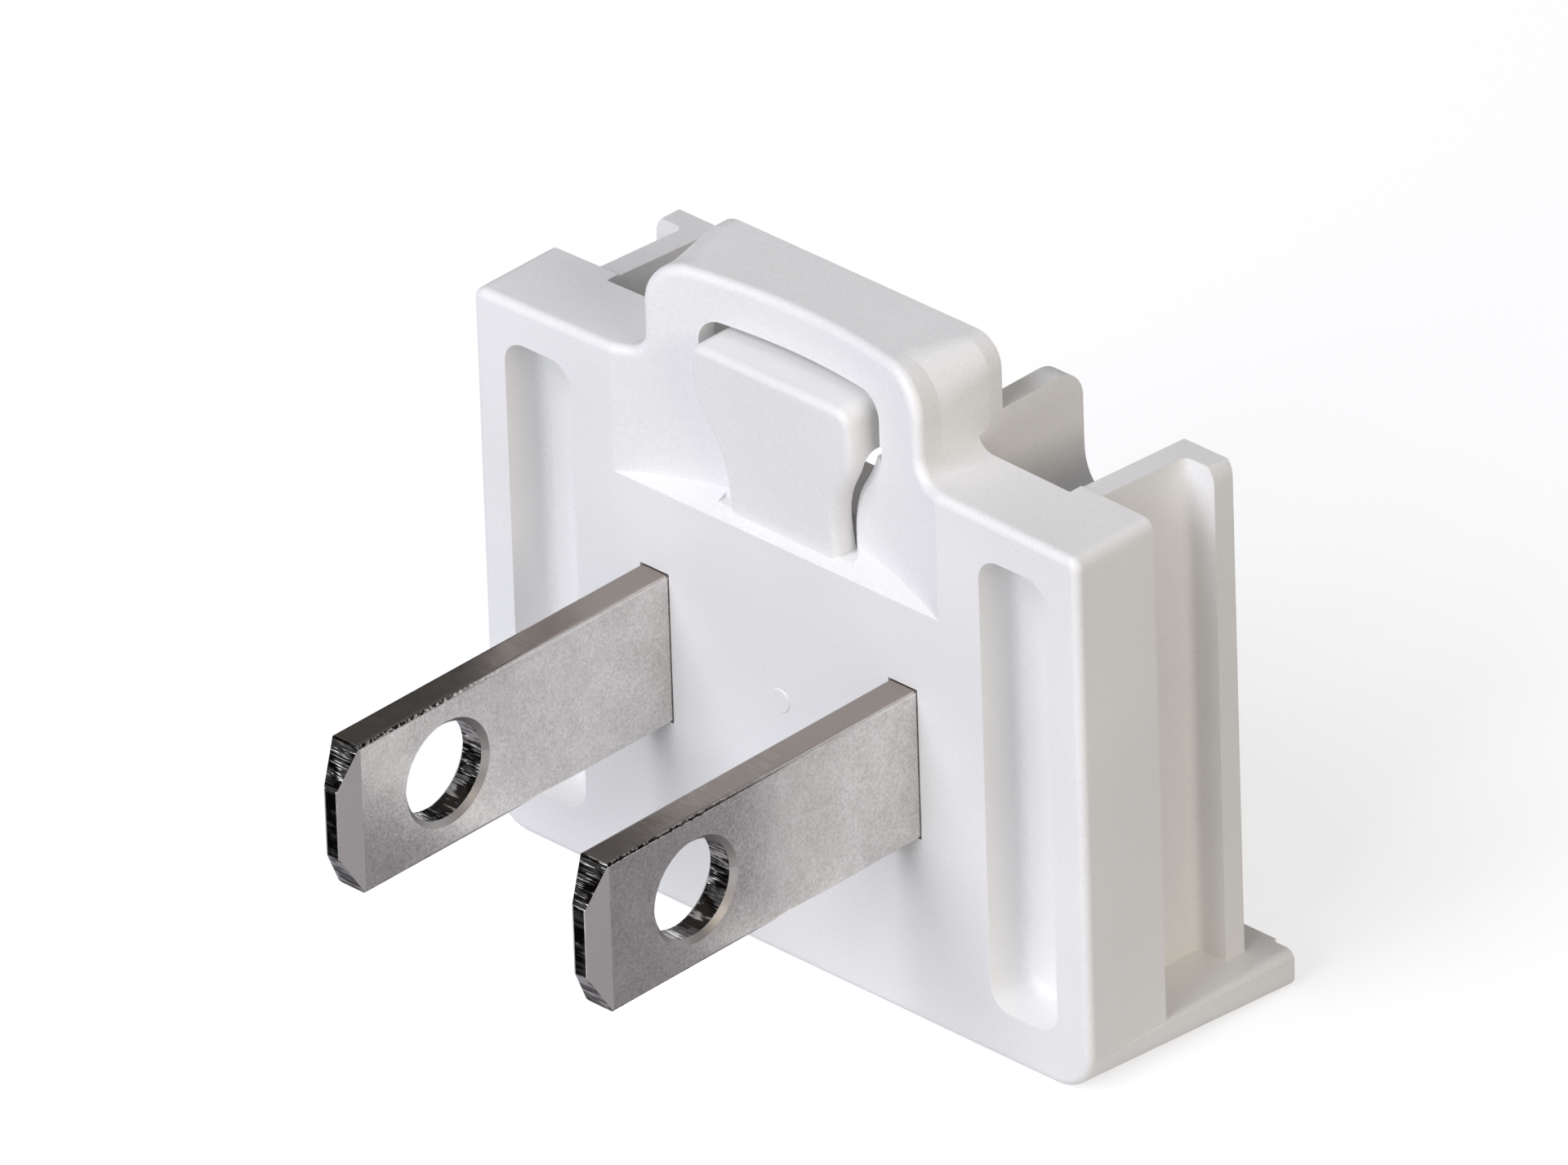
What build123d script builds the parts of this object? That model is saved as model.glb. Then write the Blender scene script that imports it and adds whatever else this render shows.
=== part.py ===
"""Slide-on two-blade plug head of a wall power supply.

Frame: X to the right, Y from the blades towards the power supply, Z up, in millimetres.
The origin is the centre of the foot's underside, on the surface that the head stands on.
Depths are counted backwards from the flat front face that meets the wall socket.
"""
import os
from math import radians, tan

from build123d import *

# Hump in the middle of the top edge, hollow behind. Heights above the blades hang from its top.
hump_height = 27.25
hump_depth = 4.8
hump_top_radius = 1.9
hump_back_radius = 1.2
hump_spread = 0.18
hump_foot_radius = 0.8
hump_wall = 1.0
hollow_height = 7.95
hollow_depth = 1.8

# Front block, the thick plate that carries everything
block_width = 30.8
block_depth = 4.1
block_web_depth = 3.5
shoulder_drop = 4.25
shoulder_crown = 0.35
shoulder_radius = 0.5
corner_radius = 1.8
front_edge_radius = 0.35

# Scoop that guides the thumb to the latch
scoop_width = 16.6
scoop_depth = 1.4
scoop_height = 9.45
scoop_ramp_angle = 28.0

# Window round the tongue, bevelled towards the front below the head
window_drop = 1.85
window_head_height = 2.75
window_side_gap = 0.55
window_leaf_gap = 0.2
window_corner_radius = 1.0
bevel_gap = 0.7
bevel_start = 1.0
bevel_end = 1.3

# Latch tongue, one moulding with the housing and free on three sides
tongue_head_width = 8.1
tongue_neck_width = 6.3
tongue_waist_width = 5.5
tongue_top_gap = 0.4
tongue_length = 6.9
tongue_shoulder_drop = 1.6
tongue_neck_drop = 4.0
tongue_waist_drop = 6.0
tongue_front_top = -0.2
tongue_front_root = 0.4
tongue_neck_thickness = 0.8
tongue_neck_radius = 0.5
tongue_root_thickness = 1.1
tongue_root_overlap = 0.8
tongue_head_depth = 2.8
tongue_head_height = 2.15
tongue_corner_radius = 0.65
tongue_edge_radius = 0.3

# Two recesses in the front face
pocket_width = 3.4
pocket_spacing = 24.2
pocket_bottom = 2.1
pocket_top_margin = 1.6
pocket_depth = 2.0
pocket_corner_radius = 1.0
pocket_floor_radius = 0.45

# Gate mark, where the plastic entered the mould, in the middle between the blades
gate_mark_diameter = 1.0
gate_mark_height = 0.06
gate_mark_chamfer = 0.05

# Foot plate along the bottom
foot_depth = 11.0
foot_corner_radius = 0.5
foot_spread = 0.2
foot_thickness = 1.6
foot_edge_radius = 0.4
foot_notch_width = 1.1
foot_notch_depth = 0.18

# Rails that slide into the power supply
rail_inner_width = 23.6
rail_wall = 1.0
rail_flange_reach = 1.42
rail_flange_front = 8.6
rail_flange_depth = 1.0
rail_fall = 0.35
rail_corner_radius = 1.0
rail_inner_corner_radius = 0.35
rail_root_radius = 0.35

# Cheeks behind the hump, in line with the outer faces of the blades
cheek_wall = 1.0
cheek_drop = 2.95
cheek_depth = 9.05
cheek_corner_radius = 1.3
cheek_sweep_drop = 6.25
cheek_step_drop = 9.45
cheek_step_depth = 10.6

# Blades, pressed from brass strip and pushed in from behind
blade_spacing = 12.7
blade_width = 6.35
blade_thickness = 1.4
blade_length = 17.2
blade_centre_height = 11.15
blade_tip_width = 2.86
blade_tip_length = 0.95
blade_tip_thickness = 0.65
blade_edge_radius = 0.18
blade_hole_diameter = 3.96
blade_hole_distance = 11.8
blade_hole_chamfer = 0.22
blade_shoulder_width = 10.2
blade_shoulder_depth = 1.8
blade_tail_depth = 10.0

# Sleeves round the blades behind the block
sleeve_wall = 1.0
sleeve_depth = 8.6
blade_clearance = 0.04

front = -foot_depth / 2
hump_width = blade_spacing + blade_thickness
hump_back_width = hump_width + 2 * hump_spread
foot_back_width = block_width + 2 * foot_spread
straight_depth = scoop_depth + front_edge_radius
shoulder_height = hump_height - shoulder_drop
hump_root_height = shoulder_height / 2
scoop_ramp_height = hump_height - scoop_height
tongue_top = hump_height - window_drop - tongue_top_gap
tongue_root = tongue_top - tongue_length
tolerance = 1e-4


def at_depth(depth):
    """Plane that faces the socket, so many millimetres behind the front face."""
    return Plane.XZ.offset(-(front + depth))


def slab(outline, start, end):
    """A front view outline carried backwards from one depth to another."""
    return extrude(at_depth(start) * outline, -(end - start))


def plate(outline, left, right):
    """A side view outline carried across from one X to another. Its first axis is the depth."""
    return extrude(Plane.YZ.offset(left) * Pos(front, 0) * outline, right - left)


def both_sides(solid):
    """The solid and its mirror image."""
    return solid + mirror(solid, Plane.YZ)


def middle_rectangle(width, bottom, top):
    """Front view rectangle about the middle plane."""
    return Pos(0, (bottom + top) / 2) * Rectangle(width, top - bottom)


def block_outline():
    """Front view of the block without its hump: straight sides and a top that falls outwards."""
    half = block_width / 2
    corners = [(-half, 0), (half, 0), (half, shoulder_height), (0, shoulder_height + shoulder_crown)]
    corners += [(-half, shoulder_height)]
    outline = make_face(Polyline(*corners, close=True))
    outline = fillet(outline.vertices().filter_by_position(Axis.Y, 0, 0), corner_radius)
    sides = outline.vertices().filter_by(lambda v: abs(abs(v.X) - half) < tolerance)
    return fillet(sides.filter_by(lambda v: v.Y > shoulder_height - tolerance), shoulder_radius)


def body_outline(width, top_radius):
    """Front view of the block with its hump, which joins the shoulders in a hollow curve."""
    hump = middle_rectangle(width, hump_height / 2, hump_height)
    hump = fillet(hump.vertices().group_by(Axis.Y)[-1], top_radius)
    outline = block_outline() + hump
    feet = outline.vertices().filter_by(lambda v: abs(abs(v.X) - width / 2) < tolerance)
    feet = feet.filter_by(lambda v: v.Y < (shoulder_height + hump_height) / 2)
    return fillet(feet, hump_foot_radius)


def front_rim(body):
    """Edges round the front of the block, without those along the scoop's ramp."""
    near = body.edges().filter_by(lambda e: e.center().Y < front + scoop_depth + tolerance)
    return near.filter_by(lambda e: min(abs(v.Z - scoop_ramp_height) for v in e.vertices()) > tolerance)


def leaf_half(grow, root):
    """Front view of the tongue's right half below its head down to a root, grown sideways by a gap."""
    head = tongue_head_width / 2 + grow
    neck = tongue_neck_width / 2 + grow
    waist = tongue_waist_width / 2 + grow
    shoulder = tongue_top - tongue_shoulder_drop
    bottom = tongue_top - tongue_waist_drop
    side = Spline(
        (head, shoulder),
        (neck, tongue_top - tongue_neck_drop),
        (waist, bottom),
        tangents=[(0, -1), (0, -1)],
    )
    edges = [Line((0, shoulder), (head, shoulder)), side]
    edges += [Line((waist, bottom), (waist, root)), Line((waist, root), (0, root))]
    return make_face(edges + [Line((0, root), (0, shoulder))])


def scoop():
    """Upright round cutter that ends below on the ramp under the latch."""
    radius = (scoop_width**2 / 4 + scoop_depth**2) / (2 * scoop_depth)
    cutter = extrude(Pos(0, front + scoop_depth - radius) * Circle(radius), 2 * hump_height)
    slope = tan(radians(scoop_ramp_angle))
    run = 2 * block_depth
    ramp = [(0, scoop_ramp_height), (run, scoop_ramp_height + slope * run), (run, 2 * hump_height)]
    ramp += [(-run, 2 * hump_height), (-run, scoop_ramp_height - slope * run)]
    above = plate(make_face(Polyline(*ramp, close=True)), -block_width / 2, block_width / 2)
    return cutter & above


def tongue():
    """Springy tongue: its head reaches back through the window and its root is buried in the ramp."""
    lean = (tongue_front_root - tongue_front_top) / tongue_length
    front_under_head = tongue_front_top + lean * tongue_head_height
    front_bottom = tongue_front_root + lean * tongue_root_overlap
    back = tongue_front_top + tongue_head_depth
    underside = tongue_top - tongue_head_height
    bottom = tongue_root - tongue_root_overlap
    side = [
        (tongue_front_top, tongue_top),
        (back, tongue_top),
        (back, underside),
        (front_under_head + tongue_neck_thickness, underside),
        (front_bottom + tongue_root_thickness, bottom),
        (front_bottom, bottom),
    ]
    profile = make_face(Polyline(*side, close=True))
    neck = profile.vertices().sort_by_distance(side[3])[0]
    profile = fillet(neck, tongue_neck_radius)
    body = plate(profile, -tongue_head_width, tongue_head_width)
    head = middle_rectangle(tongue_head_width, tongue_top - tongue_shoulder_drop, tongue_top)
    head = fillet(head.vertices().group_by(Axis.Y)[-1], tongue_corner_radius)
    half = leaf_half(0, bottom)
    body &= slab(head + half + mirror(half, Plane.YZ), -block_depth, block_depth)
    return fillet(body.faces().sort_by(Axis.Y)[0].edges(), tongue_edge_radius)


def window():
    """Opening round the tongue: roomy at its head, close to its leaf, and bevelled below."""
    width = tongue_head_width + 2 * window_side_gap
    top = hump_height - window_drop
    head = middle_rectangle(width, top - window_head_height, top)
    head = fillet(head.vertices().group_by(Axis.Y)[-1], window_corner_radius)
    opening = slab(head, -block_depth, hollow_depth + hump_wall)
    narrow = leaf_half(window_leaf_gap, tongue_root)
    wide = leaf_half(bevel_gap, tongue_root)
    leaf = slab(narrow, -block_depth, hollow_depth) + slab(wide, -block_depth, bevel_start)
    leaf += loft([at_depth(bevel_start) * wide, at_depth(bevel_end) * narrow])
    return opening + both_sides(leaf)


def pocket():
    """Recess in the front face with round corners and a soft edge round its floor."""
    top = shoulder_height - pocket_top_margin
    outline = RectangleRounded(pocket_width, top - pocket_bottom, pocket_corner_radius)
    centre = Pos(pocket_spacing / 2, (top + pocket_bottom) / 2)
    recess = slab(centre * outline, -front_edge_radius, pocket_depth)
    floor = recess.faces().sort_by(Axis.Y)[-1]
    return fillet(floor.edges(), pocket_floor_radius)


def gate_mark():
    """Low round button with a sloping edge on the front face."""
    outline = Pos(0, blade_centre_height) * Circle(gate_mark_diameter / 2)
    button = slab(outline, -gate_mark_height, gate_mark_height)
    return chamfer(button.faces().sort_by(Axis.Y)[0].edges(), gate_mark_chamfer)


def foot_section(width, radius):
    """Front view of the foot plate with round bottom corners, a little taller than the plate."""
    section = middle_rectangle(width, 0, 2 * corner_radius)
    return fillet(section.vertices().group_by(Axis.Y)[0], radius)


def foot():
    """Foot plate: its bottom edges start as round as the block's corners and sharpen backwards."""
    start = front_edge_radius
    near = foot_section(block_width, corner_radius)
    far = foot_section(foot_back_width, foot_corner_radius)
    cover = middle_rectangle(foot_back_width, -foot_thickness, foot_thickness)
    cover = fillet(cover.vertices().group_by(Axis.Y)[-1], foot_edge_radius)
    plate_solid = loft([at_depth(start) * near, at_depth(foot_depth) * far]) & slab(cover, start, foot_depth)
    notch = Pos(foot_back_width / 2 - foot_notch_width / 2, foot_thickness / 2)
    notch = notch * Rectangle(foot_notch_width, foot_thickness)
    plate_solid -= both_sides(slab(notch, foot_depth - foot_notch_depth, foot_depth))
    return plate_solid


def rail():
    """Right rail: a wall behind the block with a flange that turns outwards."""
    inner = rail_inner_width / 2
    outer = inner + rail_wall
    flange = outer + rail_flange_reach
    back = rail_flange_front + rail_flange_depth
    plan = [(inner, block_depth / 2), (outer, block_depth / 2), (outer, rail_flange_front)]
    plan += [(flange, rail_flange_front), (flange, back), (inner, back)]
    outline = make_face(Polyline(*plan, close=True))
    corner = outline.vertices().sort_by_distance((outer, rail_flange_front))[0]
    outline = fillet(corner, rail_root_radius)
    solid = extrude(Pos(0, front, foot_thickness / 2) * outline, shoulder_height - foot_thickness / 2)
    ends = solid.edges().filter_by(Axis.Y).sort_by(Axis.Z)[-4:].sort_by(Axis.X)
    solid = fillet(ends[0], rail_inner_corner_radius)
    ends = solid.edges().filter_by(Axis.Y).sort_by(Axis.Z)[-4:].sort_by(Axis.X)
    solid = fillet(ends[-1], rail_corner_radius)
    fall = rail_fall / (back - block_depth)
    top = [(0, shoulder_height + fall * block_depth)]
    top += [(2 * back, shoulder_height - fall * (2 * back - block_depth))]
    top += [(2 * back, 2 * shoulder_height), (0, 2 * shoulder_height)]
    return solid - plate(make_face(Polyline(*top, close=True)), 0, block_width)


def cheek():
    """Right cheek: a rib that guards the latch, sweeps back below it and carries the blade's sleeve."""
    height = hump_height - cheek_drop
    sweep = (cheek_depth, hump_height - cheek_sweep_drop)
    step = (cheek_step_depth, hump_height - cheek_step_drop)
    start = (block_depth / 2, foot_thickness / 2)
    bottom = (cheek_step_depth, foot_thickness / 2)
    points = [sweep, (cheek_depth, height), (block_depth, height), (block_depth, hump_root_height)]
    points += [(block_depth / 2, hump_root_height), start, bottom, step]
    outline = make_face(Polyline(*points).edges() + [TangentArc(sweep, step, tangent=(0, -1))])
    corner = outline.vertices().sort_by_distance((cheek_depth, height))[0]
    outline = fillet(corner, cheek_corner_radius)
    return plate(outline, hump_back_width / 2 - cheek_wall, hump_back_width / 2)


def blade_section(width, clearance):
    """Front view of the right blade's section, grown by a clearance all round."""
    centre = Pos(blade_spacing / 2, blade_centre_height)
    return centre * Rectangle(blade_thickness + 2 * clearance, width + 2 * clearance)


def sleeve():
    """Box round the right blade behind the block."""
    centre = Pos(blade_spacing / 2, blade_centre_height)
    wide = blade_thickness + 2 * sleeve_wall
    tall = blade_shoulder_width + 2 * sleeve_wall
    return slab(centre * Rectangle(wide, tall), block_depth / 2, sleeve_depth)


def blade_slot():
    """Way in for the right blade: tall behind for its shoulders, and narrow through the front wall."""
    slot = slab(blade_section(blade_width, blade_clearance), -1, blade_shoulder_depth)
    slot += slab(blade_section(blade_shoulder_width, blade_clearance), blade_shoulder_depth, foot_depth)
    return slot


def housing():
    """The whole white moulding."""
    near = body_outline(hump_width, hump_top_radius)
    far = body_outline(hump_back_width, hump_back_radius)
    body = slab(near, 0, straight_depth)
    body += loft([at_depth(straight_depth) * near, at_depth(block_depth) * far])
    behind_hump = middle_rectangle(hump_back_width, hump_root_height, hump_height)
    web = middle_rectangle(rail_inner_width, foot_thickness, hump_height) - behind_hump
    body -= slab(web, block_web_depth, block_depth)
    body += slab(far & behind_hump, block_depth, hump_depth)
    body -= scoop()
    body = fillet(front_rim(body), front_edge_radius)
    inner_width = hump_width - 2 * hump_wall
    hollow = middle_rectangle(inner_width, hump_height - hollow_height, hump_height - hump_wall)
    hollow = fillet(hollow.vertices().group_by(Axis.Y)[-1], hump_top_radius - hump_wall)
    body -= slab(hollow, hollow_depth, 2 * hump_depth)
    body -= window()
    body += tongue()
    body -= both_sides(pocket())
    body += gate_mark()
    body += foot()
    body += both_sides(rail())
    body += both_sides(cheek() + sleeve())
    return body - both_sides(blade_slot())


def blade():
    """Right blade: a tapered tip, a hole, shoulders that seat behind the front wall and a bare tail."""
    side = [
        (-blade_length, blade_tip_width / 2),
        (blade_tip_length - blade_length, blade_width / 2),
        (blade_shoulder_depth, blade_width / 2),
        (blade_shoulder_depth, blade_shoulder_width / 2),
        (sleeve_depth, blade_shoulder_width / 2),
        (sleeve_depth, blade_width / 2),
        (blade_tail_depth, blade_width / 2),
    ]
    side += [(depth, -height) for depth, height in reversed(side)]
    inner = (blade_spacing - blade_thickness) / 2
    outline = Pos(0, blade_centre_height) * make_face(Polyline(*side, close=True))
    solid = plate(outline, inner, inner + blade_thickness)
    long_edges = solid.edges().filter_by(Axis.Y).filter_by(lambda e: e.length > blade_length / 2)
    solid = fillet(long_edges, blade_edge_radius)
    thin = blade_tip_thickness / 2
    thick = blade_thickness / 2
    plan = [(-thin, -blade_length), (thin, -blade_length), (thick, blade_tip_length - blade_length)]
    plan += [(thick, blade_tail_depth), (-thick, blade_tail_depth), (-thick, blade_tip_length - blade_length)]
    plan_face = Pos(blade_spacing / 2, front) * make_face(Polyline(*plan, close=True))
    solid &= extrude(plan_face, 2 * blade_centre_height)
    hole = Plane.YZ.offset(inner) * Pos(front - blade_hole_distance, blade_centre_height)
    solid -= extrude(hole * Circle(blade_hole_diameter / 2), blade_thickness)
    rim = solid.edges().filter_by(GeomType.CIRCLE).filter_by(lambda e: e.radius > blade_hole_diameter / 4)
    return chamfer(rim, blade_hole_chamfer)


if __name__ == "__main__":
    os.makedirs("parts", exist_ok=True)
    export_step(housing(), "parts/housing.step")
    right = blade()
    export_step(right, "parts/blade_right.step")
    export_step(mirror(right, Plane.YZ), "parts/blade_left.step")
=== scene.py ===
import bpy
from mathutils import Matrix, Vector

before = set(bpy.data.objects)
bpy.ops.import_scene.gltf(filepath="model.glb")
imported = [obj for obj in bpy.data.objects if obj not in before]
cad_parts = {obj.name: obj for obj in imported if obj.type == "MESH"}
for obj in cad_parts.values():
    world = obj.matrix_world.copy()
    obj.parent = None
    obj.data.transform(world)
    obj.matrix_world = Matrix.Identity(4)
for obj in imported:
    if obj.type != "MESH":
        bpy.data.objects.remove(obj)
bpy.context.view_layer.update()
mm = 0.001

# HOUSING
# One white moulding: front block, hump, latch tongue, foot, rails and cheeks.
# It is injection-moulded polycarbonate from a spark-eroded tool, which leaves a fine matt grain.


def linear(colour):
    """An sRGB hex colour as linear values with alpha."""
    parts = [int(colour[i : i + 2], 16) / 255 for i in (1, 3, 5)]
    return tuple(c / 12.92 if c <= 0.04045 else ((c + 0.055) / 1.055) ** 2.4 for c in parts) + (1.0,)


def add_node(tree, kind, settings=None, links=None):
    """Adds a node with its properties or socket values, and links its inputs from other nodes' outputs."""
    node = tree.nodes.new(kind)
    for name, value in (settings or {}).items():
        if isinstance(name, str) and hasattr(node, name):
            setattr(node, name, value)
        else:
            node.inputs[name].default_value = value
    for name, source in (links or {}).items():
        tree.links.new(source, node.inputs[name])
    return node


def new_material(name):
    """An empty node material and its tree."""
    material = bpy.data.materials.new(name)
    material.use_nodes = True
    material.node_tree.nodes.clear()
    return material, material.node_tree


# Moulded polycarbonate: white, satin where the tool's grain is worn smooth.
# The grain of the tool is about 0.05 mm and is drawn at 0.1 mm so that it shows.
grain_size = 0.1 * mm
flow_size = 9 * mm
grain_depth = 0.01 * mm
plastic, tree = new_material("moulded white polycarbonate")
place = add_node(tree, "ShaderNodeTexCoord").outputs["Object"]
grain = add_node(
    tree,
    "ShaderNodeTexNoise",
    {"Scale": 1 / grain_size, "Detail": 2.0, "Roughness": 0.6},
    {"Vector": place},
)
flow = add_node(tree, "ShaderNodeTexNoise", {"Scale": 1 / flow_size, "Detail": 1.0}, {"Vector": place})
mottle = add_node(
    tree,
    "ShaderNodeMath",
    {"operation": "ADD"},
    {0: flow.outputs["Fac"], 1: grain.outputs["Fac"]},
)
mottle = add_node(
    tree,
    "ShaderNodeMapRange",
    {"From Min": 0.7, "From Max": 1.3},
    {"Value": mottle.outputs[0]},
)
tint = add_node(
    tree,
    "ShaderNodeMix",
    {"data_type": "RGBA", "A": linear("#EFEEEC"), "B": linear("#FBFAF8")},
    {"Factor": mottle.outputs["Result"]},
)
gloss = add_node(
    tree,
    "ShaderNodeMapRange",
    {"From Min": 0.3, "From Max": 0.7, "To Min": 0.38, "To Max": 0.54},
    {"Value": grain.outputs["Fac"]},
)
relief = add_node(
    tree,
    "ShaderNodeBump",
    {"Strength": 0.6, "Distance": grain_depth},
    {"Height": grain.outputs["Fac"]},
)
shell = add_node(
    tree,
    "ShaderNodeBsdfPrincipled",
    {"IOR": 1.58},
    {
        "Base Color": tint.outputs["Result"],
        "Roughness": gloss.outputs["Result"],
        "Normal": relief.outputs["Normal"],
    },
)
add_node(tree, "ShaderNodeOutputMaterial", links={"Surface": shell.outputs["BSDF"]})

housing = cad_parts["housing"]
housing.data.materials.clear()
housing.data.materials.append(plastic)

# BLADES
# Two flat contacts blanked from brass strip, coined thinner at the tip and plated with nickel.
# Their faces keep the satin of the rolled strip. The tip's edges and the hole are smoothed by burnishing and
# streaked, and their colour carries painted reflections and highlights.
blade_front = -5.5 * mm
blade_reach = 17.2 * mm
blade_middle = 11.15 * mm
blade_half_width = 3.175 * mm
blade_from_middle = 6.35 * mm
end_half_thickness = 0.325 * mm

# Satin nickel on rolled brass: fine pits, faint clouds, tarnish near the root, and shear marks on the edges,
# with painted reflections on the edges and painted highlights on the tip.
pit_size = 0.1 * mm
cloud_size = 1.3 * mm
speck_size = 0.3 * mm
streak_gap = 0.15 * mm
dent_size = 0.7 * mm
burr_size = 0.2 * mm
burr_width = 0.12 * mm
point_size = 0.13 * mm
pit_depth = 0.01 * mm
plate, tree = new_material("satin nickel plate")
place = add_node(tree, "ShaderNodeTexCoord").outputs["Object"]
normal = add_node(tree, "ShaderNodeNewGeometry").outputs["True Normal"]
facing = add_node(tree, "ShaderNodeSeparateXYZ", links={0: normal})
across = add_node(tree, "ShaderNodeMath", {"operation": "ABSOLUTE"}, {0: facing.outputs["X"]}).outputs[0]
spot = add_node(tree, "ShaderNodeSeparateXYZ", links={0: place})
# Is 1 on the sheared edges, the tip and the hole's wall, and 0 on the rolled faces.
sheared = add_node(
    tree,
    "ShaderNodeMapRange",
    {"From Min": 0.6, "From Max": 0.4},
    {"Value": across},
).outputs["Result"]
# Is 0 at the root and 1 at the tip.
outward = add_node(
    tree,
    "ShaderNodeMapRange",
    {"From Min": blade_front, "From Max": blade_front - blade_reach},
    {"Value": spot.outputs["Y"]},
).outputs["Result"]
# The strip's grain is about 0.03 mm and is drawn at 0.1 mm so that it shows.
pits = add_node(
    tree,
    "ShaderNodeTexNoise",
    {"Scale": 1 / pit_size, "Detail": 3.0, "Roughness": 0.7},
    {"Vector": place},
)
pits = pits.outputs["Fac"]
cloud = add_node(
    tree,
    "ShaderNodeTexNoise",
    {"Scale": 1 / cloud_size, "Detail": 6.0, "Roughness": 0.7},
    {"Vector": place},
)
stain = add_node(
    tree,
    "ShaderNodeMath",
    {"operation": "MULTIPLY_ADD", 1: 0.4},
    {0: cloud.outputs["Fac"], 2: pits},
)
stain = add_node(
    tree,
    "ShaderNodeMapRange",
    {"From Min": 0.5, "From Max": 0.9},
    {"Value": stain.outputs[0]},
).outputs["Result"]
face_colour = add_node(
    tree,
    "ShaderNodeMix",
    {"data_type": "RGBA", "A": linear("#BFBBB7"), "B": linear("#EBE7E4")},
    {"Factor": stain},
).outputs["Result"]
# Tarnish gathers in the pits near the root.
specks = add_node(
    tree,
    "ShaderNodeTexNoise",
    {"Scale": 1 / speck_size, "Detail": 4.0, "Roughness": 0.75},
    {"Vector": place},
)
specks = add_node(
    tree,
    "ShaderNodeMapRange",
    {"From Min": 0.62, "From Max": 0.72},
    {"Value": specks.outputs["Fac"]},
)
inward = add_node(
    tree,
    "ShaderNodeMapRange",
    {"From Min": 0.65, "From Max": 0.15, "To Max": 0.45},
    {"Value": outward},
)
specks = add_node(
    tree,
    "ShaderNodeMath",
    {"operation": "MULTIPLY"},
    {0: specks.outputs["Result"], 1: inward.outputs["Result"]},
).outputs[0]
face_colour = add_node(
    tree,
    "ShaderNodeMix",
    {"data_type": "RGBA", "B": linear("#8A8480")},
    {"Factor": specks, "A": face_colour},
).outputs["Result"]
# Shear marks run through the strip's thickness, about 0.15 mm apart.
stretch = add_node(tree, "ShaderNodeMapping", {"Scale": (0.06, 1.0, 1.0)}, {"Vector": place})
streaks = add_node(
    tree,
    "ShaderNodeTexNoise",
    {"Scale": 1 / streak_gap, "Detail": 2.0, "Roughness": 0.5},
    {"Vector": stretch.outputs["Vector"]},
).outputs["Fac"]
# Broad dents and shear marks break the sheared metal into dark and pale patches: painted reflections of dark
# and bright surroundings, laid over the real marks.
dents = add_node(
    tree,
    "ShaderNodeTexNoise",
    {"Scale": 1 / dent_size, "Detail": 1.0},
    {"Vector": place},
).outputs["Fac"]
patches = add_node(tree, "ShaderNodeMath", {"operation": "ADD"}, {0: dents, 1: streaks}).outputs[0]
patches = add_node(
    tree,
    "ShaderNodeMapRange",
    {"From Min": 1.0, "From Max": 1.12},
    {"Value": patches},
).outputs["Result"]
burnish_and_reflection = add_node(
    tree,
    "ShaderNodeMix",
    {"data_type": "RGBA", "A": linear("#4A4644"), "B": linear("#E8E6E4")},
    {"Factor": patches},
).outputs["Result"]
# The long edges and the tail are plain satin, so only the tip and the hole show their marks strongly. That
# satin is painted darker than the faces, partly as a painted dark reflection.
level = add_node(
    tree,
    "ShaderNodeMath",
    {"operation": "SUBTRACT", 1: blade_middle},
    {0: spot.outputs["Z"]},
)
level = add_node(tree, "ShaderNodeMath", {"operation": "ABSOLUTE"}, {0: level.outputs[0]}).outputs[0]
inside = add_node(
    tree,
    "ShaderNodeMapRange",
    {"From Min": blade_half_width - 0.01 * mm, "From Max": blade_half_width - 0.05 * mm, "To Min": 0.05},
    {"Value": level},
).outputs["Result"]
ahead = add_node(
    tree,
    "ShaderNodeMapRange",
    {"From Min": 0.3, "From Max": 0.4},
    {"Value": outward},
).outputs["Result"]
inside = add_node(tree, "ShaderNodeMath", {"operation": "MULTIPLY"}, {0: inside, 1: ahead}).outputs[0]
edge_and_reflection_colour = add_node(
    tree,
    "ShaderNodeMix",
    {"data_type": "RGBA", "A": linear("#A0978F")},
    {"Factor": inside, "B": burnish_and_reflection},
).outputs["Result"]
# A painted highlight: a thin white rim runs down both sides of the blunt end, standing in for the light its
# rounded edges would catch.
off_middle = add_node(
    tree,
    "ShaderNodeMath",
    {"operation": "ABSOLUTE"},
    {0: spot.outputs["X"]},
).outputs[0]
off_middle = add_node(
    tree,
    "ShaderNodeMath",
    {"operation": "SUBTRACT", 1: blade_from_middle},
    {0: off_middle},
).outputs[0]
off_middle = add_node(tree, "ShaderNodeMath", {"operation": "ABSOLUTE"}, {0: off_middle}).outputs[0]
end_rim_highlight = add_node(
    tree,
    "ShaderNodeMapRange",
    {"From Min": end_half_thickness - 0.075 * mm, "From Max": end_half_thickness - 0.045 * mm},
    {"Value": off_middle},
)
at_end = add_node(
    tree,
    "ShaderNodeMath",
    {"operation": "GREATER_THAN", 1: 0.999},
    {0: outward},
).outputs[0]
end_rim_highlight = add_node(
    tree,
    "ShaderNodeMath",
    {"operation": "MULTIPLY"},
    {0: end_rim_highlight.outputs["Result"], 1: at_end},
).outputs[0]
edge_and_reflection_colour = add_node(
    tree,
    "ShaderNodeMix",
    {"data_type": "RGBA", "B": linear("#FFFFFF")},
    {"Factor": end_rim_highlight, "A": edge_and_reflection_colour},
).outputs["Result"]
# The coined slopes of the tip, 21.5 degrees off the faces, are painted brighter than them: a painted
# highlight for the light their tilt catches.
coined = add_node(
    tree,
    "ShaderNodeMath",
    {"operation": "COMPARE", 1: 0.93, 2: 0.02},
    {0: across},
).outputs[0]
face_colour = add_node(
    tree,
    "ShaderNodeMix",
    {"data_type": "RGBA", "B": linear("#F4F0ED")},
    {"Factor": coined, "A": face_colour},
).outputs["Result"]
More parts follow.
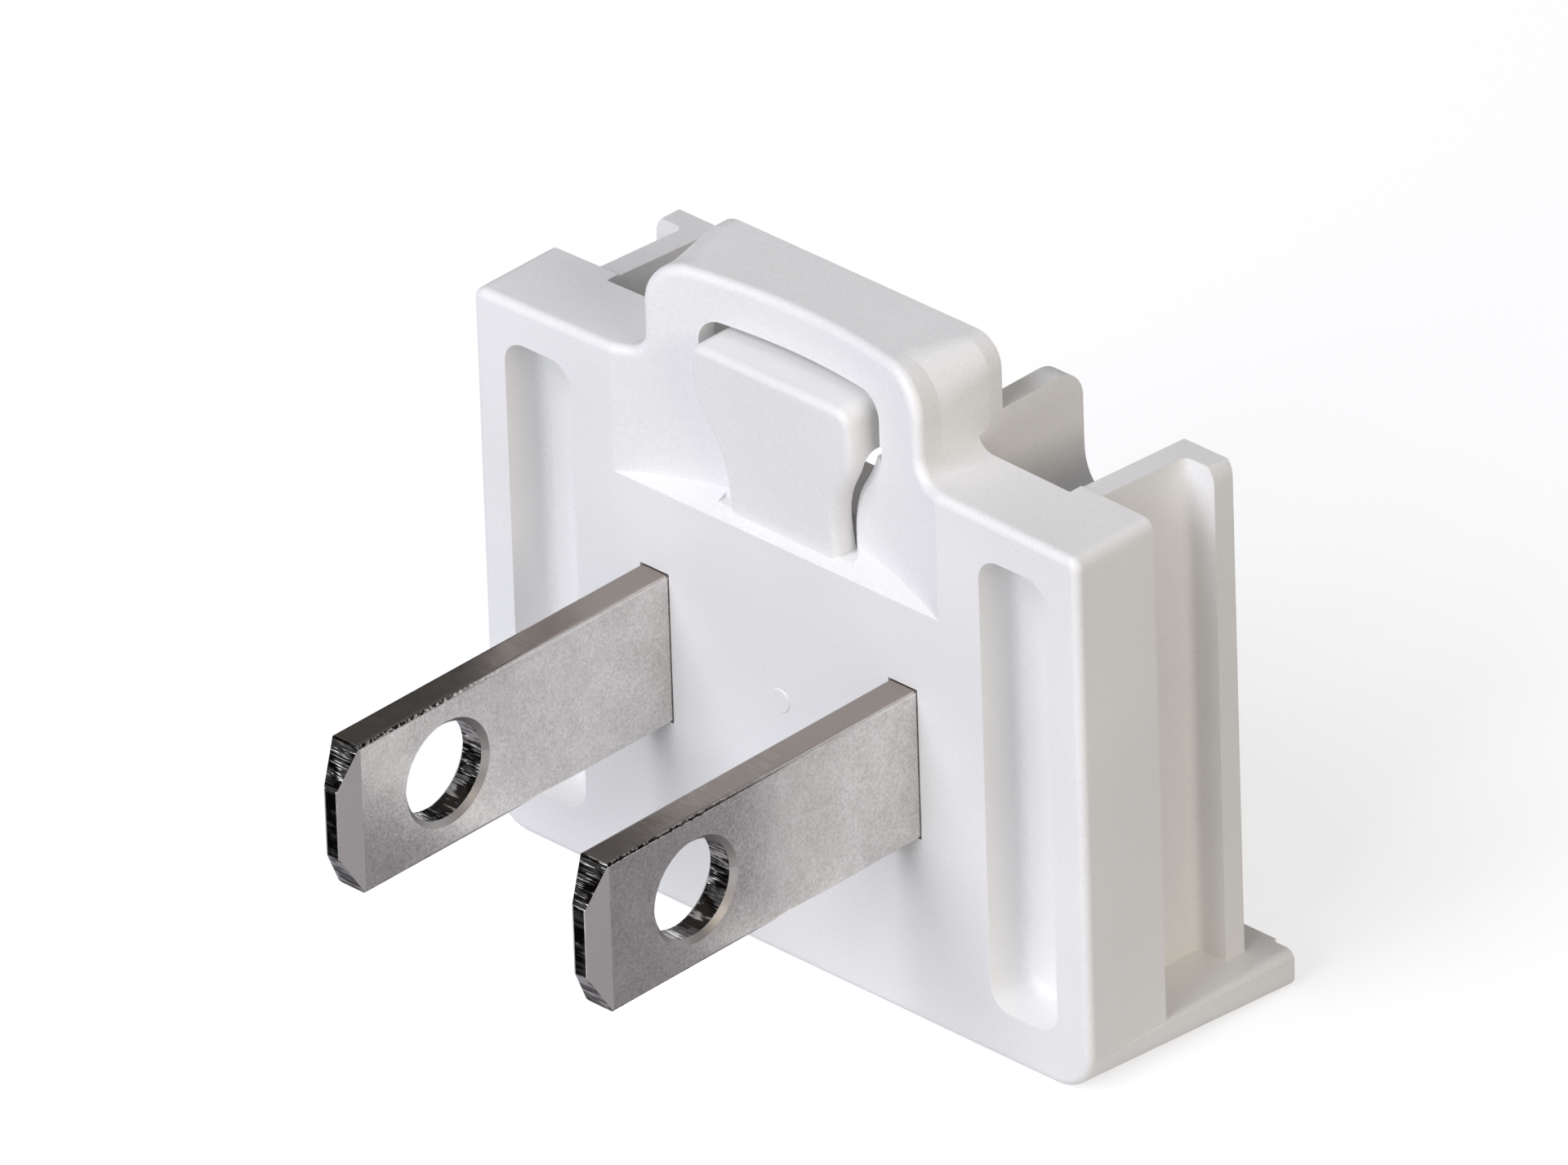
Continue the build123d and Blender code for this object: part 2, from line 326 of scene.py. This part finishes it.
# The 45 degree chamfer round the hole is given a darker colour and a rougher finish than the faces.
chamfer = add_node(
    tree,
    "ShaderNodeMath",
    {"operation": "COMPARE", 1: 0.707, 2: 0.04},
    {0: across},
).outputs[0]
face_colour = add_node(
    tree,
    "ShaderNodeMix",
    {"data_type": "RGBA", "B": linear("#B8B4B1")},
    {"Factor": chamfer, "A": face_colour},
).outputs["Result"]
both = add_node(
    tree,
    "ShaderNodeMix",
    {"data_type": "RGBA"},
    {"Factor": sheared, "A": face_colour, "B": edge_and_reflection_colour},
)
# The rim between face and edge is torn into dark and bright points, mostly towards the tip: a real burr
# whose bright points are painted glints standing in for the edge's highlight.
burr = add_node(
    tree,
    "ShaderNodeTexNoise",
    {"Scale": 1 / burr_size, "Detail": 2.0},
    {"Vector": place},
).outputs["Fac"]
ragged = add_node(tree, "ShaderNodeMath", {"operation": "MULTIPLY", 1: burr_width}, {0: burr})
ragged = add_node(
    tree,
    "ShaderNodeMath",
    {"operation": "ADD"},
    {0: level, 1: ragged.outputs[0]},
).outputs[0]
torn = add_node(
    tree,
    "ShaderNodeMapRange",
    {"From Min": blade_half_width - 0.075 * mm, "From Max": blade_half_width - 0.06 * mm},
    {"Value": ragged},
).outputs["Result"]
torn = add_node(
    tree,
    "ShaderNodeMath",
    {"operation": "SUBTRACT", "use_clamp": True},
    {0: torn, 1: sheared},
).outputs[0]
reach = add_node(
    tree,
    "ShaderNodeMapRange",
    {"From Min": 0.45, "From Max": 0.7},
    {"Value": outward},
).outputs["Result"]
torn = add_node(tree, "ShaderNodeMath", {"operation": "MULTIPLY"}, {0: torn, 1: reach}).outputs[0]
points = add_node(
    tree,
    "ShaderNodeTexNoise",
    {"Scale": 1 / point_size, "Detail": 1.0},
    {"Vector": place},
).outputs["Fac"]
points = add_node(
    tree,
    "ShaderNodeMapRange",
    {"From Min": 0.47, "From Max": 0.57},
    {"Value": points},
).outputs["Result"]
torn_glint_colour = add_node(
    tree,
    "ShaderNodeMix",
    {"data_type": "RGBA", "A": linear("#2A2624"), "B": linear("#E4E0DC")},
    {"Factor": points},
).outputs["Result"]
coat_colour = add_node(
    tree,
    "ShaderNodeMix",
    {"data_type": "RGBA"},
    {"Factor": torn, "A": both.outputs["Result"], "B": torn_glint_colour},
)
chamfer_gloss = add_node(
    tree,
    "ShaderNodeMath",
    {"operation": "MULTIPLY", 1: 0.25},
    {0: chamfer},
).outputs[0]
face_gloss = add_node(
    tree,
    "ShaderNodeMapRange",
    {"From Min": 0.3, "From Max": 0.7, "To Min": 0.15, "To Max": 0.25},
    {"Value": pits},
).outputs["Result"]
face_gloss = add_node(
    tree,
    "ShaderNodeMath",
    {"operation": "ADD"},
    {0: face_gloss, 1: chamfer_gloss},
).outputs[0]
edge_gloss = add_node(
    tree,
    "ShaderNodeMapRange",
    {"From Min": 0.05, "From Max": 1.0, "To Min": 0.26, "To Max": 0.08},
    {"Value": inside},
).outputs["Result"]
edge_gloss = add_node(
    tree,
    "ShaderNodeMath",
    {"operation": "MULTIPLY_ADD", 1: 0.5},
    {0: end_rim_highlight, 2: edge_gloss},
).outputs[0]
gloss = add_node(
    tree,
    "ShaderNodeMix",
    {"data_type": "FLOAT"},
    {"Factor": sheared, "A": face_gloss, "B": edge_gloss},
)
face_relief = add_node(tree, "ShaderNodeMath", {"operation": "MULTIPLY", 1: 0.8}, {0: pits}).outputs[0]
edge_relief = add_node(
    tree,
    "ShaderNodeMath",
    {"operation": "MULTIPLY_ADD", 1: 2.5},
    {0: dents, 2: streaks},
).outputs[0]
edge_relief = add_node(
    tree,
    "ShaderNodeMath",
    {"operation": "MULTIPLY"},
    {0: edge_relief, 1: inside},
).outputs[0]
edge_relief = add_node(
    tree,
    "ShaderNodeMath",
    {"operation": "MULTIPLY", 1: 9.0},
    {0: edge_relief},
).outputs[0]
height = add_node(
    tree,
    "ShaderNodeMix",
    {"data_type": "FLOAT"},
    {"Factor": sheared, "A": face_relief, "B": edge_relief},
)
relief = add_node(
    tree,
    "ShaderNodeBump",
    {"Strength": 0.5, "Distance": pit_depth},
    {"Height": height.outputs["Result"]},
)
plated = add_node(
    tree,
    "ShaderNodeBsdfPrincipled",
    {"Metallic": 1.0},
    {
        "Base Color": coat_colour.outputs["Result"],
        "Roughness": gloss.outputs["Result"],
        "Normal": relief.outputs["Normal"],
    },
)
add_node(tree, "ShaderNodeOutputMaterial", links={"Surface": plated.outputs["BSDF"]})
for name in ("blade_left", "blade_right"):
    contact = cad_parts[name]
    contact.data.materials.clear()
    contact.data.materials.append(plate)

# FLOOR
# A plain white plane, pale enough to read as the background, which keeps the soft shadow.
floor_drop = 0.02 * mm
floor_paint, tree = new_material("white table")
path = add_node(tree, "ShaderNodeLightPath")
seen = add_node(
    tree,
    "ShaderNodeMath",
    {"operation": "MAXIMUM"},
    {0: path.outputs["Is Camera Ray"], 1: path.outputs["Is Glossy Ray"]},
)
seen = add_node(
    tree,
    "ShaderNodeMath",
    {"operation": "MAXIMUM"},
    {0: seen.outputs[0], 1: path.outputs["Is Transmission Ray"]},
)
lift = add_node(tree, "ShaderNodeMath", {"operation": "MULTIPLY", 1: 0.63}, {0: seen.outputs[0]})
table = add_node(
    tree,
    "ShaderNodeBsdfPrincipled",
    {
        "Base Color": linear("#C8C8CA"),
        "Roughness": 0.9,
        "Specular IOR Level": 0.1,
        "Emission Color": (1, 1, 1, 1),
    },
    {"Emission Strength": lift.outputs[0]},
)
add_node(tree, "ShaderNodeOutputMaterial", links={"Surface": table.outputs["BSDF"]})
bpy.ops.object.select_all(action="DESELECT")
bpy.ops.mesh.primitive_plane_add(size=8, location=(0, 0, -floor_drop))
floor = bpy.context.object
floor.name = "floor"
floor.data.materials.append(floor_paint)

# Cards lie on the table, seen only in reflections, as painted reflections: the black one in front darkens
# the tips, and the grey ones beside the blades stand in for the floor's shade.
# Each row holds its name, its colour and its left, right, near and far edges in mm.
card_drop = floor_drop / 2
for name, colour, left, right, near, far in (
    ("black_reflection_card", "#1C1B1D", -80, 3, -90, -27),
    ("floor_shade_card", "#A3A1A3", -20, 80, -27, -7),
    ("side_floor_shade_card", "#A3A1A3", 17, 80, -7, 60),
):
    paint, tree = new_material(name.replace("_", " "))
    surface = add_node(tree, "ShaderNodeBsdfPrincipled", {"Base Color": linear(colour), "Roughness": 0.9})
    add_node(tree, "ShaderNodeOutputMaterial", links={"Surface": surface.outputs["BSDF"]})
    bpy.ops.object.select_all(action="DESELECT")
    bpy.ops.mesh.primitive_plane_add(size=1)
    card = bpy.context.object
    card.name = name
    for corner in card.data.vertices:
        corner.co.x = (right if corner.co.x > 0 else left) * mm
        corner.co.y = (far if corner.co.y > 0 else near) * mm
        corner.co.z = -card_drop
    card.data.materials.append(paint)
    card.visible_camera = card.visible_diffuse = card.visible_shadow = card.visible_transmission = False

# LIGHT
# A cool soft box high in front, one lower on its right, a warm one far right, and the room's own light.
# Each row holds a lamp's name, its place in metres, its colour and its power in watts.
lamp_size = 0.3
aim_point = Vector((0, -5, 12)) * mm
world = bpy.data.worlds.new("room")
bpy.context.scene.world = world
world.use_nodes = True
world.node_tree.nodes.clear()
tree = world.node_tree
# The room is dark at the horizon and brightens towards the ceiling.
outlook = add_node(tree, "ShaderNodeTexCoord").outputs["Generated"]
sky = add_node(tree, "ShaderNodeSeparateXYZ", links={0: outlook})
ceiling = add_node(
    tree,
    "ShaderNodeMapRange",
    {"From Min": 0.35, "To Min": 0.04, "To Max": 0.42},
    {"Value": sky.outputs["Z"]},
)
room = add_node(
    tree,
    "ShaderNodeBackground",
    {"Color": (1, 1, 1, 1)},
    {"Strength": ceiling.outputs["Result"]},
)
add_node(tree, "ShaderNodeOutputWorld", links={"Surface": room.outputs["Background"]})
lamps = [
    ("left box", (-0.12, -0.45, 0.5), "#F3F3FF", 1.84),
    ("front box", (0.1, -0.6, 0.3), "#F1F6FF", 1.78),
    ("right box", (0.6, -0.1, 0.25), "#FFF4E5", 1.22),
]
for name, place, colour, power in lamps:
    bpy.ops.object.light_add(type="AREA", location=place)
    lamp = bpy.context.object
    lamp.name = name
    lamp.data.shape = "SQUARE"
    lamp.data.size = lamp_size
    lamp.data.color = linear(colour)[:3]
    lamp.data.energy = power
    lamp.rotation_euler = (aim_point - Vector(place)).to_track_quat("-Z", "Y").to_euler()

# CAMERA
# A long lens from the right of the blades, 31 degrees up, with the small tilt of the photograph.
camera_tilt = -0.03405
aim = Vector((0.39, -5.5, 16.37)) * mm
stand = Vector((640.87, -650.3, 553.83)) * mm
bpy.ops.object.camera_add(location=stand)
camera = bpy.context.object
turn = (aim - stand).to_track_quat("-Z", "Y").to_matrix() @ Matrix.Rotation(camera_tilt, 3, "Z")
camera.rotation_euler = turn.to_euler()
camera.data.sensor_width = 36
camera.data.lens = 657.85
camera.data.clip_start = 0.01
camera.data.clip_end = 20
bpy.context.scene.camera = camera
bpy.context.scene.view_settings.view_transform = "Standard"
